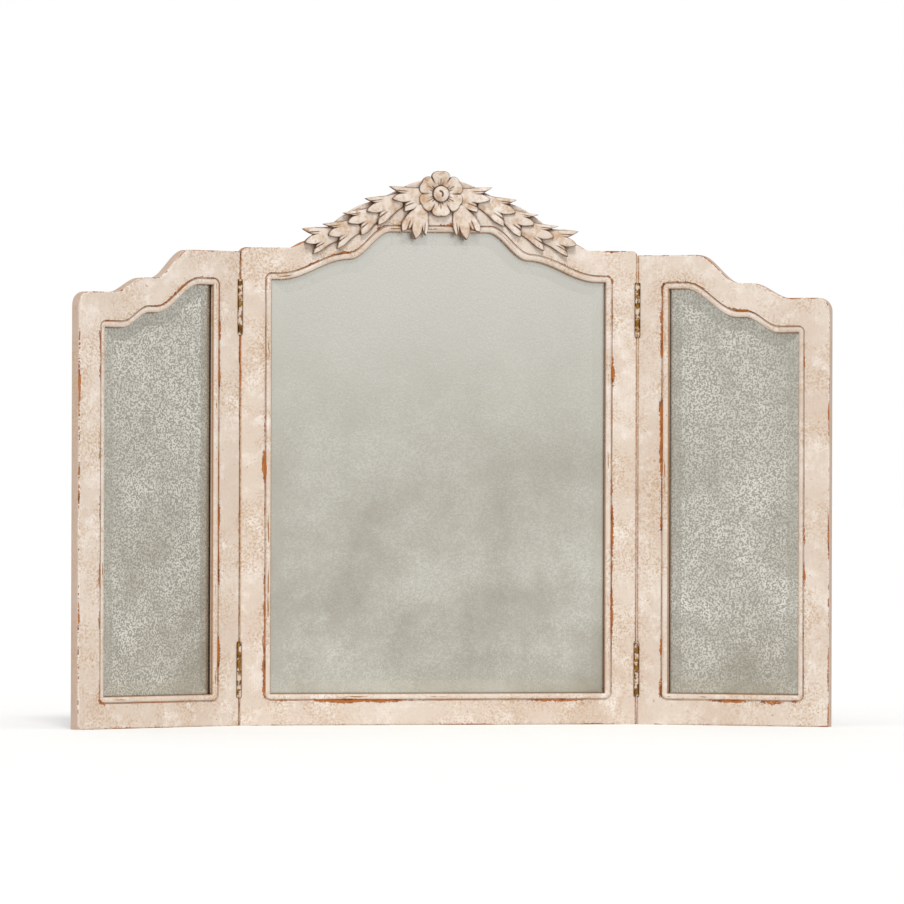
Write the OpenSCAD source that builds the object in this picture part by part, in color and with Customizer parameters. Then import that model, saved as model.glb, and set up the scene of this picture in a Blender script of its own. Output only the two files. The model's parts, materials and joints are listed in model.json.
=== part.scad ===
// Three-fold dressing mirror: an arched centre panel and two shaped wings on
// brass butt hinges, with a carved rosette and husk garlands on the arch.
// X runs across the mirror, the front faces -Y and the floor is Z = 0. The
// origin is the middle of the centre panel's underside. A wing is drawn flat,
// with x measured from its hinge edge, and is then folded forward.

/* [Panels] */
// Width of the centre panel
centre_w = 576; // [480:1:700]
// Height of the centre panel at its square shoulders
centre_h = 678; // [560:1:820]
// Height of a wing at its hinge edge
wing_h = 672; // [555:1:814]
// How much narrower a wing is than half of the centre panel
wing_shortfall = 3; // [2:0.5:12]
// How far each wing stands folded forward from flat, in degrees
wing_fold = 30; // [0:1:90]

/* [Frame] */
// Thickness of the frame stock
stock_t = 19; // [16:0.5:24]
// Width of the upright stiles
stile_w = 46; // [40:0.5:56]
// Width of the bottom rails
rail_w = 45; // [40:0.5:56]
// Width of the centre top rail where it meets the stiles
arch_end_w = 45.5; // [41:0.5:56]
// Width of the wing top rails where they meet the outer stile
wing_end_w = 49.5; // [41:0.5:58]
// Radius of the wing's outer top corner
wing_corner_r = 19; // [6:0.5:24]
// Radius of the other top corners
corner_r = 3; // [1:0.5:5]
// Diameter of the joint dowels
dowel_d = 8; // [6:0.5:10]
// Length of the joint dowels
dowel_len = 40; // [30:1:50]

/* [Moulding] */
// Width of the bead round each opening
bead_w = 8; // [6:0.5:10]
// Width of the quirk beside the bead
quirk_w = 1.5; // [1:0.25:2.5]
// Depth of the quirk
quirk_depth = 1.6; // [0.8:0.2:2.4]

/* [Glass and back] */
// Thickness of the mirror glass
glass_t = 5; // [4:0.5:6]
// Width of the bevel, measured from the edge of the glass
bevel_w = 26; // [14:1:30]
// How much the bevel thins the glass at its edge
bevel_drop = 2.4; // [1:0.2:3]
// Depth of the glass behind the front face
sight_depth = 8; // [7:0.5:9]
// How far the glass goes in behind the bead
glass_lap = 8; // [5:0.5:9]
// How much further the backing board reaches than the glass
board_lap = 10; // [8:0.5:12]
// Thickness of the felt between glass and board
felt_t = 1.5; // [1:0.25:2]
// Gap round the edge of glass, felt and board
edge_fit = 0.5; // [0.2:0.1:1]
// Largest spacing of the backing board screws
board_screw_pitch = 160; // [100:5:200]

/* [Hinges] */
// Length of a butt hinge
hinge_len = 76; // [60:1:90]
// Distance of a hinge from the top and bottom of the wing
hinge_margin = 41; // [20:1:80]
// Thickness of a hinge leaf
leaf_t = 1.4; // [1.4:0.1:1.8]
// How deep a leaf is let into the edge of its stile
leaf_sink = 1.4; // [0.4:0.1:1.4]
// Width of a hinge leaf from the pin's centre line
leaf_w = 17.5; // [15:0.5:19]
// Gap between the two closed leaves
leaf_play = 0.4; // [0.2:0.1:1]
// Diameter of the hinge barrel
barrel_d = 6.4; // [5.6:0.2:7]
// How far the pin's centre line stands in front of the frame
barrel_stand = 0.2; // [0.2:0.1:3]
// Diameter of the hinge pin
pin_d = 3.2; // [2.6:0.1:3.4]
// Number of knuckles on a hinge
knuckles = 5; // [5, 7]

/* [Crest] */
// Radius of the rosette over its petals
rosette_r = 32; // [26:1:36]
// Relief of the rosette
rosette_t = 11; // [8:0.5:14]
// Radius of the button in the rosette
button_r = 11.5; // [8:0.5:13]
// Relief of the garlands
garland_t = 9; // [6:0.5:12]
// Length of a husk from its root to its middle tip
husk_len = 44; // [36:1:48]
// Length of a bellflower
bell_len = 48; // [40:1:54]

/* [Hidden] */
$fn = 48;

// Outline curves. A step is [start, end, rise]: start and end are hundredths
// of the panel's span, and the curve rises smoothly from start to end.
arch_steps = [[76, 69, 6], [75, 31, 61.5], [38, 5, 31.5]];
arch_sight_steps = [[80, 44.5, 30], [45, 24, 39.5]];
wing_steps = [[53, 31, 41], [79, 59, 21.5]];
wing_sight_steps = [[52, 24, 41.5], [73, 56, 22]];
// Bead roll, as [distance from the sight line, depth] of each cut
bead_cuts = [[2.5, 3], [5, 1]];
// Points along a top curve
curve_n = 72;

// Derived sizes
wing_w = centre_w / 2 - wing_shortfall;
front_y = -stock_t / 2;
back_y = stock_t / 2;
glass_y = front_y + sight_depth;
felt_y = glass_y + glass_t;
board_y = felt_y + felt_t;
board_reach = glass_lap + board_lap;
screw_line = glass_lap + board_lap / 2;
cut = 1; // overshoot of a cut past a face
running_fit = 0.05; // radial clearance of a turning pin
snug_fit = 0.05; // radial clearance of dowels and screws
dowel_rows = [11, 24]; // distance of each dowel from the rail's outer edge
dowel_y = min(0, board_y - dowel_d / 2 - 1); // clear of the backing board's rebate
hinge_gap = 2 * (leaf_t - leaf_sink) + leaf_play;
barrel_clear = barrel_d / 2 + 0.4; // radius kept free round the barrel
head_h = 1.2; // height of a pin's head
leaf_fit = 0.2; // gap round the ends and back edge of a leaf in its mortise
axis_x = centre_w / 2 + hinge_gap / 2;
axis_y = front_y - barrel_stand;
hinge_rows = [hinge_margin, wing_h - hinge_margin - hinge_len];
knuckle_h = hinge_len / knuckles;
knuckle_play = 0.2;
screw_fit_z = [0.14, 0.5, 0.86]; // places of the screws along a leaf
leaf_screw = [3, 6.2, 1.9, 17]; // shank, head diameter, head height, length
board_screw = [3, 6.4, 2, 12.5];
screw_slot = [0.8, 0.7]; // width and depth
rosette_z = centre_h + 78.6;
husk_reach = husk_len * centre_w / 576; // a wider arch takes longer husks, so they still meet

// A panel is [left, right, top at its low end, top steps, sight left, sight
// right, sight top at its low end, sight steps, span, left corner radius,
// right corner radius].
centre_panel = [-centre_w / 2, centre_w / 2, centre_h, arch_steps,
    -centre_w / 2 + stile_w, centre_w / 2 - stile_w, centre_h - arch_end_w, arch_sight_steps,
    centre_w / 2, corner_r, corner_r];
wing_low = wing_h - total([for (s = wing_steps) s[2]]);
wing_panel = [0, wing_w, wing_low, wing_steps,
    stile_w, wing_w - stile_w, wing_low - wing_end_w, wing_sight_steps,
    wing_w, corner_r, wing_corner_r];

// ---- Curves ----
function total(v, i = 0) = i == len(v) ? 0 : v[i] + total(v, i + 1);
// Smooth rise from 0 to 1 while t goes from 0 to 1
function ease(t) = t <= 0 ? 0 : t >= 1 ? 1 : (1 - cos(180 * t)) / 2;
// Steepest angle of a step that rises r over a run of l
function steepness(r, l) = atan(PI / 2 * r / l);
// Height of a step at x, after the curve has been moved outwards by d
function step_z(x, s, span, d) =
    let (start = s[0] * span / 100, run = (s[0] - s[1]) * span / 100,
        shift = d * tan(steepness(s[2], run) / 2))
    s[2] * ease((start + shift - x) / run);
// Height of a stepped curve at x, moved outwards by d
function curve_z(x, low, steps, span, d) =
    low + d + total([for (s = steps) step_z(abs(x), s, span, d)]);
// Points of an arc about (x, z)
function arc(x, z, r, a0, a1, n = 8) =
    [for (i = [0:n]) [x + r * cos(a0 + (a1 - a0) * i / n), z + r * sin(a0 + (a1 - a0) * i / n)]];
function sight_z(p, x, d) = curve_z(x, p[6], p[7], p[8], d);
function top_z(p, x) = curve_z(x, p[2], p[3], p[8], 0);
// The opening of panel p, moved outwards by d
function opening(p, d) =
    let (x0 = p[4] - d, x1 = p[5] + d)
    concat([[x0, rail_w - d], [x1, rail_w - d]],
        [for (i = [0:curve_n])
            let (x = x1 + (x0 - x1) * i / curve_n) [x, sight_z(p, x, d)]]);
// The outer outline of panel p
function panel_outline(p) =
    let (x0 = p[0] + p[9], x1 = p[1] - p[10])
    concat([[p[0], 0], [p[1], 0]],
        arc(x1, top_z(p, x1) - p[10], p[10], 0, 90),
        [for (i = [1:curve_n - 1])
            let (x = x1 + (x0 - x1) * i / curve_n) [x, top_z(p, x)]],
        arc(x0, top_z(p, x0) - p[9], p[9], 90, 180));

// ---- Placing ----
// Carries a flat drawing, x across and y up, into the slab from y0 to y1
module slab(y0, y1) {
    translate([0, y1, 0])
    rotate([90, 0, 0])
    linear_extrude(y1 - y0)
    children();
}
// Folds the right wing about its hinge line
module right_fold() {
    translate([axis_x, axis_y, 0])
    rotate([0, 0, -wing_fold])
    children();
}
// A piece drawn in the wing's own frame, in place on the right
module right_wing() {
    right_fold()
    translate([hinge_gap / 2, -axis_y, 0])
    children();
}
// The same on the left
module left_wing() {
    mirror([1, 0, 0])
    right_wing()
    children();
}

// ---- Fasteners ----
// Wood screw along +Z with its head's face at Z = 0, grown by g
module wood_screw(s, g = 0) {
    translate([0, 0, -s[2]]) cylinder(h = s[2], d1 = s[0] + 2 * g, d2 = s[1] + 2 * g);
    translate([0, 0, -s[3]]) cylinder(h = s[3] - s[2] + 0.01, d = s[0] + 2 * g);
}
// Pilot holes for the screws of one panel's backing board
function spread(a, b, pitch) =
    let (n = ceil((b - a) / pitch)) [for (i = [0:n]) a + (b - a) * i / n];
function board_screw_points(p) =
    let (x0 = p[4] - screw_line, x1 = p[5] + screw_line, z0 = rail_w - screw_line,
        xs = spread(x0, x1, board_screw_pitch),
        zs = spread(z0, sight_z(p, x1, screw_line), board_screw_pitch),
        ws = spread(z0, sight_z(p, x0, screw_line), board_screw_pitch))
    concat([for (x = xs) [x, z0]], [for (x = xs) [x, sight_z(p, x, screw_line)]],
        [for (i = [1:len(zs) - 2]) [x1, zs[i]]], [for (i = [1:len(ws) - 2]) [x0, ws[i]]]);
module board_holes(p, g) {
    for (q = board_screw_points(p))
        translate([q[0], back_y + cut, q[1]])
        rotate([90, 0, 0])
        cylinder(h = board_screw[3] + cut + 0.5, d = board_screw[0] + 2 * g);
}
module board_screws(p) {
    for (q = board_screw_points(p))
        translate([q[0], back_y, q[1]])
        rotate([-90, 0, 0])
        difference() {
            union() {
                translate([0, 0, -board_screw[3]]) cylinder(h = board_screw[3], d = board_screw[0]);
                cylinder(h = board_screw[2], d1 = board_screw[1], d2 = board_screw[1] * 0.7);
            }
            translate([0, 0, board_screw[2]])
                cube([board_screw[1] + cut, screw_slot[0], 2 * screw_slot[1]], center = true);
        }
}
// Holes or dowels across a rail's joints: x is the joint, top_zs its rows
module dowel_row(x, zs, d, l) {
    for (z = zs)
        translate([x - l / 2, dowel_y, z])
        rotate([0, 90, 0])
        cylinder(h = l, d = d);
}
module joint_dowels(p, d, l) {
    for (x = [p[4], p[5]]) {
        dowel_row(x, dowel_rows, d, l);
        dowel_row(x, [for (r = dowel_rows) top_z(p, x) - r], d, l);
    }
}

// ---- Frame pieces ----
// The part of panel p's frame that lies in the box from [x0, z0] to [x1, z1]
module frame_piece(p, x0, x1, z0, z1) {
    difference() {
        slab(front_y, back_y)
        intersection() {
            difference() {
                polygon(panel_outline(p));
                polygon(opening(p, 0));
            }
            translate([x0, z0]) square([x1 - x0, z1 - z0]);
        }
        slab(glass_y, back_y + cut) polygon(opening(p, glass_lap));
        slab(board_y, back_y + cut) polygon(opening(p, board_reach));
        slab(front_y - cut, front_y + quirk_depth)
        difference() {
            polygon(opening(p, bead_w + quirk_w));
            polygon(opening(p, bead_w));
        }
        for (c = bead_cuts)
            slab(front_y - cut, front_y + c[1]) polygon(opening(p, c[0]));
        joint_dowels(p, dowel_d + 2 * snug_fit, dowel_len + 2 * cut);
        board_holes(p, snug_fit);
    }
}
full_h = 2 * centre_h;
mid_h = centre_h / 2;
module left_stile_of(p) {
    frame_piece(p, p[0] - cut, p[4], -cut, full_h);
}
module right_stile_of(p) {
    frame_piece(p, p[5], p[1] + cut, -cut, full_h);
}
module bottom_rail_of(p) {
    frame_piece(p, p[4], p[5], -cut, mid_h);
}
module top_rail_of(p) {
    frame_piece(p, p[4], p[5], mid_h, full_h);
}

// ---- Glass and back ----
// Bevelled plate: back edge, front edge and bevel line are rings of one outline
module bevelled_glass(p) {
    edge = opening(p, glass_lap - edge_fit);
    flat_edge = opening(p, glass_lap - edge_fit - bevel_w);
    n = len(edge);
    points = concat([for (q = edge) [q[0], felt_y, q[1]]],
        [for (q = edge) [q[0], glass_y + bevel_drop, q[1]]],
        [for (q = flat_edge) [q[0], glass_y, q[1]]]);
    walls = [for (k = [0, 1]) for (i = [0:n - 1])
        [k * n + i, k * n + (i + 1) % n, (k + 1) * n + (i + 1) % n, (k + 1) * n + i]];
    caps = [[for (i = [n - 1:-1:0]) i], [for (i = [0:n - 1]) 2 * n + i]];
    color("silver")
    polyhedron(points, [for (f = concat(walls, caps)) [for (i = [len(f) - 1:-1:0]) f[i]]]);
}
module felt(p) {
    color("dimgray") slab(felt_y, board_y) polygon(opening(p, glass_lap - edge_fit));
}
module backing_board(p) {
    color("peru")
    difference() {
        slab(board_y, back_y) polygon(opening(p, board_reach - edge_fit));
        board_holes(p, snug_fit);
    }
}

// ---- Hinges ----
// A leaf on the left of the pin, with the pin on the Z axis and the hinge's
// foot at Z = 0. It owns every second knuckle, from number first.
module hinge_leaf(first) {
    plate_x = -leaf_play / 2 - leaf_t;
    color("darkgoldenrod")
    difference() {
        union() {
            translate([plate_x, barrel_clear, 0]) cube([leaf_t, leaf_w - barrel_clear, hinge_len]);
            for (k = [first:2:knuckles - 1])
                translate([0, 0, k * knuckle_h + knuckle_play / 2]) {
                    cylinder(h = knuckle_h - knuckle_play, d = barrel_d);
                    translate([plate_x, 0, 0])
                        cube([leaf_t, barrel_clear + 0.5, knuckle_h - knuckle_play]);
                }
        }
        translate([0, 0, -cut]) cylinder(h = hinge_len + 2 * cut, d = pin_d + 2 * running_fit);
        leaf_screws(snug_fit);
    }
}
// The screws of that leaf
module leaf_screws(g) {
    for (k = screw_fit_z)
        translate([-leaf_play / 2 - 0.05, (leaf_w + barrel_clear) / 2, k * hinge_len])
        rotate([0, 90, 0])
        wood_screw(leaf_screw, g);
}
module slotted_leaf_screws() {
    color("goldenrod")
    difference() {
        leaf_screws(0);
        for (k = screw_fit_z)
            translate([-leaf_play / 2, (leaf_w + barrel_clear) / 2, k * hinge_len])
            cube([2 * screw_slot[1], screw_slot[0], leaf_screw[1] + cut], center = true);
    }
}
module hinge_pin() {
    color("gold") {
        cylinder(h = hinge_len, d = pin_d);
        for (z = [-head_h + knuckle_play / 2, hinge_len - knuckle_play / 2])
            translate([0, 0, z]) cylinder(h = head_h, d = barrel_d - 0.6);
    }
}
// A piece of the right hinge in row k, on the centre panel or on the wing
module right_on_frame(k) {
    translate([axis_x, axis_y, hinge_rows[k]]) children();
}
module right_on_wing(k) {
    right_fold() translate([0, 0, hinge_rows[k]]) mirror([1, 0, 0]) children();
}
module left_on_frame(k) {
    mirror([1, 0, 0]) right_on_frame(k) children();
}
module left_on_wing(k) {
    mirror([1, 0, 0]) right_on_wing(k) children();
}
// What a leaf takes out of its stile: a mortise, a hollow for the barrel and
// pilot holes
module leaf_seat() {
    translate([-leaf_play / 2 - leaf_t, 0, -leaf_fit])
        cube([leaf_t + cut, leaf_w + leaf_fit, hinge_len + 2 * leaf_fit]);
    translate([0, 0, -head_h - leaf_fit])
        cylinder(h = hinge_len + 2 * (head_h + leaf_fit), r = barrel_clear);
    leaf_screws(snug_fit);
}
module centre_seats() {
    for (k = [0, 1], side = [0, 1])
        mirror([side, 0, 0]) right_on_frame(k) leaf_seat();
}
module wing_seats() {
    for (k = [0, 1])
        translate([-hinge_gap / 2, axis_y, hinge_rows[k]])
        mirror([1, 0, 0])
        leaf_seat();
}

// ---- Crest ----
// A pointed lobe along +X: its half width swells and closes to the tip
function lobe(l, w, n = 12) =
    concat([for (i = [0:n]) [l * i / n, w / 2 * sin(180 * pow(i / n, 0.75))]],
        [for (i = [n - 1:-1:1]) [l * i / n, -w / 2 * sin(180 * pow(i / n, 0.75))]]);
// Three lobes from one root: the middle one leads
module three_lobes(l, w, side_l, spread_a) {
    polygon(lobe(l, w));
    for (a = [-spread_a, spread_a]) rotate(a) polygon(lobe(side_l, w));
}
// Husks on the left arch: [middle tip as hundredths of the span, drop below
// the arch, slope in degrees]
garland_husks = [[67, 0, 24], [55, 18, 35], [45, 22, 41], [36, 17, 25], [23, 15, 28]];
module garland_plan() {
    for (h = garland_husks) {
        tip_x = -h[0] * centre_w / 200;
        translate([tip_x, top_z(centre_panel, tip_x) - h[1]])
        rotate(180 + h[2])
        translate([-husk_reach, 0])
        three_lobes(husk_reach, 17, husk_reach * 0.98, 27);
    }
}
module garland() {
    difference() {
        slab(front_y - garland_t, front_y) garland_plan();
        translate([0, 0, rosette_z]) rosette_space();
    }
}
module rosette_space() {
    translate([0, front_y + cut, 0])
    rotate([90, 0, 0])
    cylinder(h = rosette_t + garland_t, r = rosette_r + 0.3);
}
// The bellflower hangs beside the garland, cut back where the last husk lies
module bellflower() {
    difference() {
        slab(front_y - garland_t, front_y)
        translate([-33, rosette_z - 15])
        rotate(265)
        three_lobes(bell_len, 18, bell_len * 0.92, 22);
        slab(front_y - garland_t - cut, front_y + cut) offset(delta = 0.3) garland_plan();
        translate([0, 0, rosette_z]) rosette_space();
    }
}
module left_garland() {
    color("linen") garland();
}
module right_garland() {
    color("linen") mirror([1, 0, 0]) garland();
}
module left_bellflower() {
    color("antiquewhite") bellflower();
}
module right_bellflower() {
    color("antiquewhite") mirror([1, 0, 0]) bellflower();
}
// Six round-ended petals on a disc that carries the button
function petal(r0, r1, w, n = 16) =
    let (c = (r0 + r1) / 2, h = (r1 - r0) / 2)
    [for (i = [0:n - 1]) [c + h * cos(360 * i / n), w / 2 * sin(360 * i / n)]];
module rosette_petals() {
    color("oldlace")
    translate([0, 0, rosette_z])
    slab(front_y - rosette_t + 3, front_y) {
        for (k = [0:5]) rotate(30 + 60 * k) polygon(petal(4, rosette_r, 24));
        circle(r = button_r + 2);
    }
}
module rosette_button() {
    dome_h = 6;
    color("beige")
    translate([0, front_y - rosette_t + 3, rosette_z])
    rotate([90, 0, 0])
    rotate_extrude()
    polygon(concat([[0, 0]], arc(0, 0, 1, 0, 90, 12) * [[button_r, 0], [0, dome_h]]));
}

// ---- Sub-parts ----
module centre_left_stile() {
    color("wheat") difference() {
        left_stile_of(centre_panel);
        centre_seats();
    }
}
module centre_right_stile() {
    color("wheat") difference() {
        right_stile_of(centre_panel);
        centre_seats();
    }
}
module wing_hinge_stile() {
    color("wheat") difference() {
        left_stile_of(wing_panel);
        wing_seats();
    }
}
module wing_outer_stile() {
    color("wheat") right_stile_of(wing_panel);
}
module bottom_rail(p) {
    color("bisque") bottom_rail_of(p);
}
module top_rail(p) {
    color("bisque") top_rail_of(p);
}
module frame_dowels(p) {
    color("burlywood") joint_dowels(p, dowel_d, dowel_len);
}
module backing_screws(p) {
    color("gray") board_screws(p);
}
module centre_hinge_screws() {
    for (k = [0, 1], side = [0, 1])
        mirror([side, 0, 0]) right_on_frame(k) slotted_leaf_screws();
}
module wing_hinge_screws() {
    for (k = [0, 1]) right_on_wing(k) slotted_leaf_screws();
}

centre_left_stile();
centre_right_stile();
bottom_rail(centre_panel);  // centre_bottom_rail
top_rail(centre_panel);  // centre_top_rail
frame_dowels(centre_panel);  // centre_frame_dowels
bevelled_glass(centre_panel);  // centre_mirror_glass
felt(centre_panel);  // centre_felt
backing_board(centre_panel);  // centre_backing_board
backing_screws(centre_panel);  // centre_board_screws
left_garland();
right_garland();
left_bellflower();
right_bellflower();
rosette_petals();
rosette_button();
left_wing() wing_hinge_stile();  // left_hinge_stile
left_wing() wing_outer_stile();  // left_outer_stile
left_wing() bottom_rail(wing_panel);  // left_bottom_rail
left_wing() top_rail(wing_panel);  // left_top_rail
left_wing() frame_dowels(wing_panel);  // left_frame_dowels
left_wing() bevelled_glass(wing_panel);  // left_mirror_glass
left_wing() felt(wing_panel);  // left_felt
left_wing() backing_board(wing_panel);  // left_backing_board
left_wing() backing_screws(wing_panel);  // left_board_screws
right_wing() wing_hinge_stile();  // right_hinge_stile
right_wing() wing_outer_stile();  // right_outer_stile
right_wing() bottom_rail(wing_panel);  // right_bottom_rail
right_wing() top_rail(wing_panel);  // right_top_rail
right_wing() frame_dowels(wing_panel);  // right_frame_dowels
right_wing() bevelled_glass(wing_panel);  // right_mirror_glass
right_wing() felt(wing_panel);  // right_felt
right_wing() backing_board(wing_panel);  // right_backing_board
right_wing() backing_screws(wing_panel);  // right_board_screws
left_on_frame(1) hinge_leaf(0);  // left_upper_hinge_frame_leaf
left_on_wing(1) hinge_leaf(1);  // left_upper_hinge_wing_leaf
left_on_frame(1) hinge_pin();  // left_upper_hinge_pin
left_on_frame(0) hinge_leaf(0);  // left_lower_hinge_frame_leaf
left_on_wing(0) hinge_leaf(1);  // left_lower_hinge_wing_leaf
left_on_frame(0) hinge_pin();  // left_lower_hinge_pin
right_on_frame(1) hinge_leaf(0);  // right_upper_hinge_frame_leaf
right_on_wing(1) hinge_leaf(1);  // right_upper_hinge_wing_leaf
right_on_frame(1) hinge_pin();  // right_upper_hinge_pin
right_on_frame(0) hinge_leaf(0);  // right_lower_hinge_frame_leaf
right_on_wing(0) hinge_leaf(1);  // right_lower_hinge_wing_leaf
right_on_frame(0) hinge_pin();  // right_lower_hinge_pin
centre_hinge_screws();
mirror([1, 0, 0]) wing_hinge_screws();  // left_wing_hinge_screws
wing_hinge_screws();  // right_wing_hinge_screws
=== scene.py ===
# %% [markdown]
# # A three-part dressing-table mirror
# A carved and painted centre mirror stands between two wings that swing on brass hinges.
# The wood parts share one idea: a moulded profile is carried along each rail and stile, and a
# carved garland is laid over the arch. Each step says what the piece is and why it is made so.

import json
import math

import bpy
import numpy as np
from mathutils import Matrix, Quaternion, Vector


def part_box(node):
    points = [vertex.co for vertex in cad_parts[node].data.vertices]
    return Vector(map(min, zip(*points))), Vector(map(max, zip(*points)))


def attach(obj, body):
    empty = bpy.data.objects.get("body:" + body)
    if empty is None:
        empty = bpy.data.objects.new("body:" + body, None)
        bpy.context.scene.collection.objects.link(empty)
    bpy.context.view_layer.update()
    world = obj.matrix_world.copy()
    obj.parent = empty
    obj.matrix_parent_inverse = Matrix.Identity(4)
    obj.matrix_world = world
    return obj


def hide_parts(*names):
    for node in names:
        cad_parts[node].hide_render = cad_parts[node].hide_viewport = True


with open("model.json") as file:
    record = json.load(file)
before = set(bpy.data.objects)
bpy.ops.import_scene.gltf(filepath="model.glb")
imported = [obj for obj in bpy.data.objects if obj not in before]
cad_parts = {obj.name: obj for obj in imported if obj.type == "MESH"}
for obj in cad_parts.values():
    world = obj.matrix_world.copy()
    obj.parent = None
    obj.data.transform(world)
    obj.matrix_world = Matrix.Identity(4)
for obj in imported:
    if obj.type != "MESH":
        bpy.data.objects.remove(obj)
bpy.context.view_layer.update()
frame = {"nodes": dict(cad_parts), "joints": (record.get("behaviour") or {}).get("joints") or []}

# %% [markdown]
# ## Sizes
# Pieces are worked out in millimetres, in the flat frame of their own panel: x across, z up, and
# the front face at y = FRONT. A wing is then swung about its hinge line to where it rests.

# %% Sizes taken from the frame
MM = 0.001
HINGES = {j["name"]: j for j in frame["joints"]}


def extent(node):
    """Lowest and highest corner of a node at rest, in millimetres."""
    low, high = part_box(node)
    return np.array(low) / MM, np.array(high) / MM


stile_low, stile_high = extent("centre_right_stile")
rail_low, rail_high = extent("centre_bottom_rail")
FRONT, BACK = stile_low[1], stile_high[1]
HALF_W, SIGHT_X = stile_high[0], rail_high[0]
RAIL_W, CENTRE_H = rail_high[2], stile_high[2]
STILE_W = HALF_W - SIGHT_X
HINGE_LINE = np.array(HINGES["right_wing_fold"]["pos_m"]) / MM
FOLD = math.radians(-HINGES["right_wing_fold"]["range_deg"][0])
WING_H = extent("right_hinge_stile")[1][2]
HINGE_ROWS = [(extent(f"right_{k}_hinge_pin")[0][2], extent(f"right_{k}_hinge_pin")[1][2])
              for k in ("lower", "upper")]
WING_X0 = HINGE_LINE[0] - HALF_W
print("stock", round(BACK - FRONT, 1), "stile", round(STILE_W, 1), "rail", round(RAIL_W, 1), "fold",
      round(math.degrees(FOLD)))


# %% Where a wing's flat frame lies
def swing(x, y):
    """Right wing at rest: the flat wing, turned forward by FOLD about the hinge line."""
    dx, dy = x + WING_X0, y - HINGE_LINE[1]
    c, s = math.cos(FOLD), math.sin(FOLD)
    return HINGE_LINE[0] + dx * c + dy * s, HINGE_LINE[1] - dx * s + dy * c


def unswing(x, y):
    """The reverse of swing."""
    dx, dy = x - HINGE_LINE[0], y - HINGE_LINE[1]
    c, s = math.cos(FOLD), math.sin(FOLD)
    return dx * c - dy * s - WING_X0, dx * s + dy * c + HINGE_LINE[1]


stile = frame["nodes"]["right_outer_stile"].data
raw = np.empty(len(stile.vertices) * 3, np.float32)
stile.vertices.foreach_get("co", raw)
flat_x, _ = unswing(*(raw.reshape(-1, 3)[:, :2].T / MM))
WING_W = float(flat_x.max())
print("wing", round(WING_W, 1), "x", round(float(WING_H), 1), "outer stile from",
      round(float(flat_x.min()), 1))

# %% [markdown]
# ## The curves of the arch and of the wings
# The tops are cut to a pattern with the saw. Each rise is half a cosine wave, so neighbouring
# steps join without a corner, and the sight edge of the glass has its own set of steps.

# %% Curves
ARCH = (CENTRE_H, HALF_W, [(76, 69, 6), (75, 31, 61.5), (38, 5, 31.5)])
ARCH_SIGHT = (CENTRE_H - 45.5, HALF_W, [(80, 44.5, 30), (45, 24, 39.5)])
WING_TOP = (WING_H - 62.5, WING_W, [(53, 31, 41), (79, 59, 21.5)])
WING_SIGHT = (WING_H - 112, WING_W, [(52, 24, 41.5), (73, 56, 22)])
CORNER_R = 1.5
CENTRE_CORNER_R = 8.0
WING_CORNER_R = 19.0


def curve_z(x, curve, out=0.0):
    """Height of a stepped curve at x, moved outwards by out: low + out + the sum of each rise times
    (1 - cos(pi t)) / 2, where t goes from 0 at the step's start to 1 at its end."""
    low, span, steps = curve
    z = low + out + 0 * x
    for start, end, rise in steps:
        run = (start - end) * span / 100
        shift = out * math.tan(math.atan(math.pi / 2 * rise / run) / 2)
        t = np.clip((start * span / 100 + shift - np.abs(x)) / run, 0, 1)
        z = z + rise * (1 - np.cos(np.pi * t)) / 2
    return z


def smooth(a, b, x):
    """0 below a, 1 above b, and an S curve between them; b below a turns it round."""
    t = np.clip((x - a) / (b - a), 0, 1)
    return t * t * (3 - 2 * t)


print("arch top", round(float(curve_z(np.array(0.0), ARCH)), 1), "arch sight",
      round(float(curve_z(np.array(0.0), ARCH_SIGHT)), 1))


# %% [markdown]
# ## From arrays to a mesh
# Every new piece is a closed skin: a grid for its face, a grid for its back with the same
# outline, and a rim that stitches the two. The sign of its volume tells which way it faces.

# %% Skins
def grid_faces(rows, cols):
    """Quads of a grid whose points are counted row by row."""
    i = np.arange(rows * cols).reshape(rows, cols)
    return np.stack([i[:-1, :-1], i[1:, :-1], i[1:, 1:], i[:-1, 1:]], -1).reshape(-1, 4)


def volume(points, faces):
    """Sum of the signed tetrahedra between the origin and each quad's two triangles."""
    a, b, c, d = (points[faces[:, k]] for k in range(4))
    return float(np.sum(a * (np.cross(b, c) + np.cross(c, d))) / 6)


def new_mesh(name, points, quads, uv=None, layers=None, sharp=38, fans=()):
    """A mesh object at the origin with its faces outwards. layers holds one number a point for each
    attribute, fans holds triangles that close a pole, and sharp is the angle of a hard edge."""
    turn = -1 if volume(points, quads) < 0 else 1
    faces = [face for part in (quads, *fans) for face in part[:, ::turn].tolist()]
    mesh = bpy.data.meshes.new(name)
    mesh.from_pydata((points * MM).tolist(), [], faces)
    if uv is not None:
        corner = np.empty(len(mesh.loops), np.int32)
        mesh.loops.foreach_get("vertex_index", corner)
        mesh.uv_layers.new(name="UVMap").data.foreach_set("uv", (uv[corner] * MM).astype(np.float32).ravel())
    for layer, values in (layers or {}).items():
        layer_data = mesh.attributes.new(layer, "FLOAT", "POINT").data
        layer_data.foreach_set("value", values.astype(np.float32).ravel())
    mesh.shade_smooth()
    mesh.set_sharp_from_angle(angle=math.radians(sharp))
    piece = bpy.data.objects.new(name, mesh)
    bpy.context.scene.collection.objects.link(piece)
    return piece


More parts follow.
